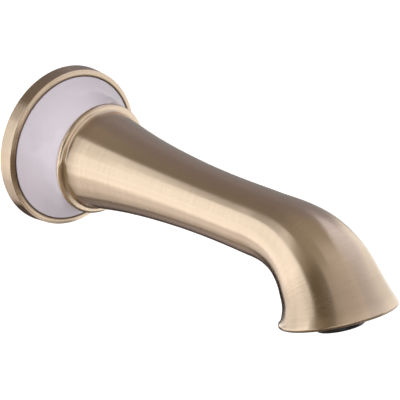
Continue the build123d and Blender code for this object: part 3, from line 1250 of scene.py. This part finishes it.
@dataclass
class Studio:
    """Camera, floor, white surroundings, soft lamps and the flags that shade the metal."""

    azimuth_deg: float = -42.4
    elevation_deg: float = 21.47
    distance: float = 0.90
    target: Vector = field(default_factory=lambda: Vector((0.0, -0.08737, -0.00091)))
    pixels_per_radian: float = 2208.78
    sensor: float = 36.0
    floor_drop: float = 0.30
    floor_side: float = 12.0
    floor_colour: str = "#F2F1F0"
    floor_glow: float = 0.55
    ambient: float = 0.71
    # Name, kind, azimuth, elevation, distance, angles filled across and up, colour, level, roll and fade
    cards: tuple[Card, ...] = (
        Card("left_softbox", CardKind.LAMP, -127.0, 20.0, 1.0, 30.0, 54.0, "#F8FAFF", 0.25, 10.0),
        Card("left_fill", CardKind.FILL, -88.0, 52.0, 2.0, 40.0, 30.0, "#FBFAFF", 2.9),
        Card("camera_flag", CardKind.FLAG, -69.0, 19.0, 0.6, 34.0, 40.0, "#645234", 1.0, -36.0, "#40331F"),
        Card("left_top_flag", CardKind.FLAG, -86.0, 45.0, 0.62, 48.0, 52.0, "#978E81", 1.0, -14.0),
        Card("left_high_flag", CardKind.FLAG, -120.0, 59.0, 0.61, 30.0, 26.0, "#978E81"),
        Card("back_flag", CardKind.FLAG, 192.0, 40.0, 2.0, 42.0, 50.0, "#645C56", 1.0, 30.0, "#7E756C"),
        Card("right_back_flag", CardKind.FLAG, 138.0, 40.0, 1.22, 60.0, 50.0, "#928E96", fade="#736865"),
        Card("grey_flag", CardKind.FLAG, 128.0, 6.0, 1.3, 28.0, 30.0, "#8A8B92"),
        Card("edge_flag", CardKind.FLAG, 136.0, -21.0, 0.5, 22.0, 22.0, "#3A3430"),
        Card("low_back_flag", CardKind.FLAG, 158.0, -40.0, 0.33, 46.0, 34.0, "#2E2725"),
        Card("low_left_flag", CardKind.FLAG, -166.0, -57.0, 0.31, 44.0, 18.0, "#A8A0A2"),
        Card("pale_left_flag", CardKind.FLAG, -150.0, -40.0, 0.36, 56.0, 26.0, "#EDE8E8"),
        Card("under_flag", CardKind.TABLE, 165.0, -73.0, 0.29, 60.0, 60.0, "#4A403A"),
        Card("ceiling_flag", CardKind.TABLE, 45.0, 70.0, 1.4, 80.0, 80.0, "#978E81"),
        Card("front_flag", CardKind.FLAG, -21.0, 46.0, 1.0, 66.0, 56.0, "#AEA49B", fade="#DCD5D2"),
        Card("right_flag", CardKind.FLAG, 56.0, 45.0, 1.05, 70.0, 48.0, "#C9C2BE", fade="#ECEDFF"),
        Card("low_front_flag", CardKind.FLAG, 10.0, -18.0, 0.4, 56.0, 40.0, "#685B4F"),
        Card("table_flag", CardKind.TABLE, -55.0, -13.0, 1.1, 74.0, 74.0, "#978974"),
        Card("near_table_flag", CardKind.TABLE, -18.0, -56.0, 0.32, 40.0, 56.0, "#9C8F83"),
        Card("left_table_flag", CardKind.TABLE, -110.0, -32.0, 0.5, 50.0, 50.0, "#E8E2DE"),
    )

    def way(self, azimuth_deg: float, elevation_deg: float) -> Vector:
        """Direction from the spout at an azimuth, 0 towards the room, and an elevation."""
        a, e = math.radians(azimuth_deg), math.radians(elevation_deg)
        return Vector((math.sin(a) * math.cos(e), -math.cos(a) * math.cos(e), math.sin(e)))

    def build(self) -> None:
        """Set up camera, world, floor and cards."""
        self.set_camera()
        self.set_world()
        self.set_floor()
        for card in self.cards:
            self.set_card(card)
        bpy.context.scene.view_settings.view_transform = "Standard"

    def set_camera(self) -> None:
        """Put the camera at the viewing angle of the photograph."""
        back = self.way(self.azimuth_deg, self.elevation_deg)
        bpy.ops.object.camera_add(location=self.target + back * self.distance,
                                  rotation=(-back).to_track_quat("-Z", "Y").to_euler())
        camera = bpy.context.active_object
        camera.data.sensor_width = self.sensor
        camera.data.lens = self.pixels_per_radian / IMAGE_SIDE * self.sensor
        bpy.context.scene.camera = camera

    def set_world(self) -> None:
        """White for the camera, for metal and for gloss, and an even soft light for the rest."""
        world = bpy.data.worlds.new("studio")
        bpy.context.scene.world = world
        world.use_nodes = True
        tree = world.node_tree
        tree.nodes.clear()
        seen = self.seen_directly(tree)
        soft = add_node(tree, "ShaderNodeBackground", {"Strength": self.ambient}).outputs[0]
        white = add_node(tree, "ShaderNodeBackground", {"Color": paint(WHITE), "Strength": 1.0}).outputs[0]
        mixed = add_node(tree, "ShaderNodeMixShader", links={0: seen, 1: soft, 2: white}).outputs[0]
        add_node(tree, "ShaderNodeOutputWorld", links={"Surface": mixed})

    def seen_directly(self, tree: bpy.types.NodeTree) -> bpy.types.NodeSocket:
        """Tell the rays that show a thing from those that light others with it.

        Args:
            tree: node tree of the thing.

        Returns:
            Socket of one for rays from the camera, from gloss and through glass, and of zero for the rest.
        """
        path = add_node(tree, "ShaderNodeLightPath").outputs
        shiny = add_node(tree, "ShaderNodeMath", {"operation": "MAXIMUM"}, {
            0: path["Is Glossy Ray"], 1: path["Is Transmission Ray"]}).outputs[0]
        return add_node(tree, "ShaderNodeMath", {"operation": "MAXIMUM"}, {
            0: path["Is Camera Ray"], 1: shiny}).outputs[0]

    def set_floor(self) -> None:
        """Lay a pale floor well below the spout.

        It keeps shadows, its lit parts are white, and it is clear from beneath.
        """
        bpy.ops.object.select_all(action="DESELECT")
        bpy.ops.mesh.primitive_plane_add(size=self.floor_side, location=(0.0, 0.0, -self.floor_drop))
        floor = bpy.context.active_object
        floor.name = "studio_floor"
        material = new_material("pale_floor")
        tree = material.node_tree
        seen = self.seen_directly(tree)
        matt = add_node(tree, "ShaderNodeBsdfDiffuse", {"Color": paint(self.floor_colour)}).outputs[0]
        lift = add_node(tree, "ShaderNodeMath", {
            "operation": "MULTIPLY", 1: self.floor_glow}, {0: seen}).outputs[0]
        glow = add_node(tree, "ShaderNodeEmission", {"Color": paint(WHITE)}, {"Strength": lift}).outputs[0]
        both = add_node(tree, "ShaderNodeAddShader", links={0: matt, 1: glow}).outputs[0]
        beneath = add_node(tree, "ShaderNodeNewGeometry").outputs["Backfacing"]
        clear = add_node(tree, "ShaderNodeBsdfTransparent").outputs[0]
        sided = add_node(tree, "ShaderNodeMixShader", links={0: beneath, 1: both, 2: clear}).outputs[0]
        add_node(tree, "ShaderNodeOutputMaterial", links={"Surface": sided})
        floor.data.materials.append(material)

    def set_card(self, card: Card) -> None:
        """Hang one lamp or flag.

        Args:
            card: what to hang.
        """
        way = self.way(card.azimuth_deg, card.elevation_deg)
        place = self.target + way * card.distance
        turn = Euler((0.0, 0.0, 0.0))
        if card.kind is not CardKind.TABLE:
            facing = (-way).to_track_quat("-Z", "Y")
            turn = (facing @ Quaternion((0.0, 0.0, 1.0), math.radians(card.roll_deg))).to_euler()
        if card.kind in (CardKind.LAMP, CardKind.FILL):
            self.hang_lamp(card, place, turn)
        else:
            self.hang_flag(card, place, turn)

    def hang_lamp(self, card: Card, place: Vector, turn: Euler) -> None:
        """Hang a soft lamp.

        Args:
            card: what to hang.
            place: its middle.
            turn: its rotation.
        """
        width, height = card.size
        bpy.ops.object.light_add(type="AREA", location=place, rotation=turn)
        lamp = bpy.context.active_object
        lamp.name = card.name
        lamp.data.shape = "RECTANGLE"
        lamp.data.size = width
        lamp.data.size_y = height
        lamp.data.color = paint(card.colour)[:3]
        lamp.data.energy = math.pi * width * height * card.level
        lamp.visible_camera = False
        lamp.visible_glossy = card.kind is CardKind.LAMP

    def hang_flag(self, card: Card, place: Vector, turn: Euler) -> None:
        """Hang a flag that shows in reflections alone.

        Args:
            card: what to hang.
            place: its middle.
            turn: its rotation.
        """
        bpy.ops.mesh.primitive_plane_add(size=1.0, location=place, rotation=turn)
        flag = bpy.context.active_object
        flag.name = card.name
        flag.scale = (*card.size, 1.0)
        flag.visible_camera = False
        flag.visible_diffuse = False
        flag.visible_shadow = False
        material = new_material(card.name)
        tree = material.node_tree
        glow = add_node(tree, "ShaderNodeEmission", {"Color": paint(card.colour), "Strength": card.level})
        if card.fade is not None:
            spot = add_node(tree, "ShaderNodeTexCoord").outputs["Object"]
            across = add_node(tree, "ShaderNodeSeparateXYZ", links={0: spot}).outputs["X"]
            # The plane is 1 across in its own coordinates
            share = add_node(tree, "ShaderNodeMapRange", {1: -0.5, 2: 0.5}, {0: across}).outputs[0]
            tone = add_node(tree, "ShaderNodeMix", {
                "data_type": "RGBA", 6: paint(card.colour), 7: paint(card.fade)}, {0: share}).outputs[2]
            tree.links.new(tone, glow.inputs["Color"])
        add_node(tree, "ShaderNodeOutputMaterial", links={"Surface": glow.outputs[0]})
        flag.data.materials.append(material)


INNER_NODES = {
    "collar_front_gasket": Finish.BLACK_RUBBER,
    "collar_rear_gasket": Finish.BLACK_RUBBER,
    "wall_gasket": Finish.GREY_FOAM,
    "nipple_seal": Finish.BLACK_RUBBER,
    "aerator_seal": Finish.BLACK_RUBBER,
    "aerator_strainer": Finish.GREY_PLASTIC,
    "aerator_mixer": Finish.GREY_PLASTIC,
    "aerator_screen": Finish.GREY_PLASTIC,
}


def main() -> None:
    """Build the pieces and the studio."""
    logging.basicConfig(level=logging.INFO, format="%(message)s")
    paints = Paintbox()
    for assembly in (SpoutBody(), WallRosette(), PorcelainCollar(), Aerator(), WallNipple()):
        assembly.build(paints)
    for node, finish in INNER_NODES.items():
        paints.dress(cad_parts[node], finish)
        log.info("%s keeps its packed form", node)
    Studio().build()


if __name__ == "__main__":
    main()
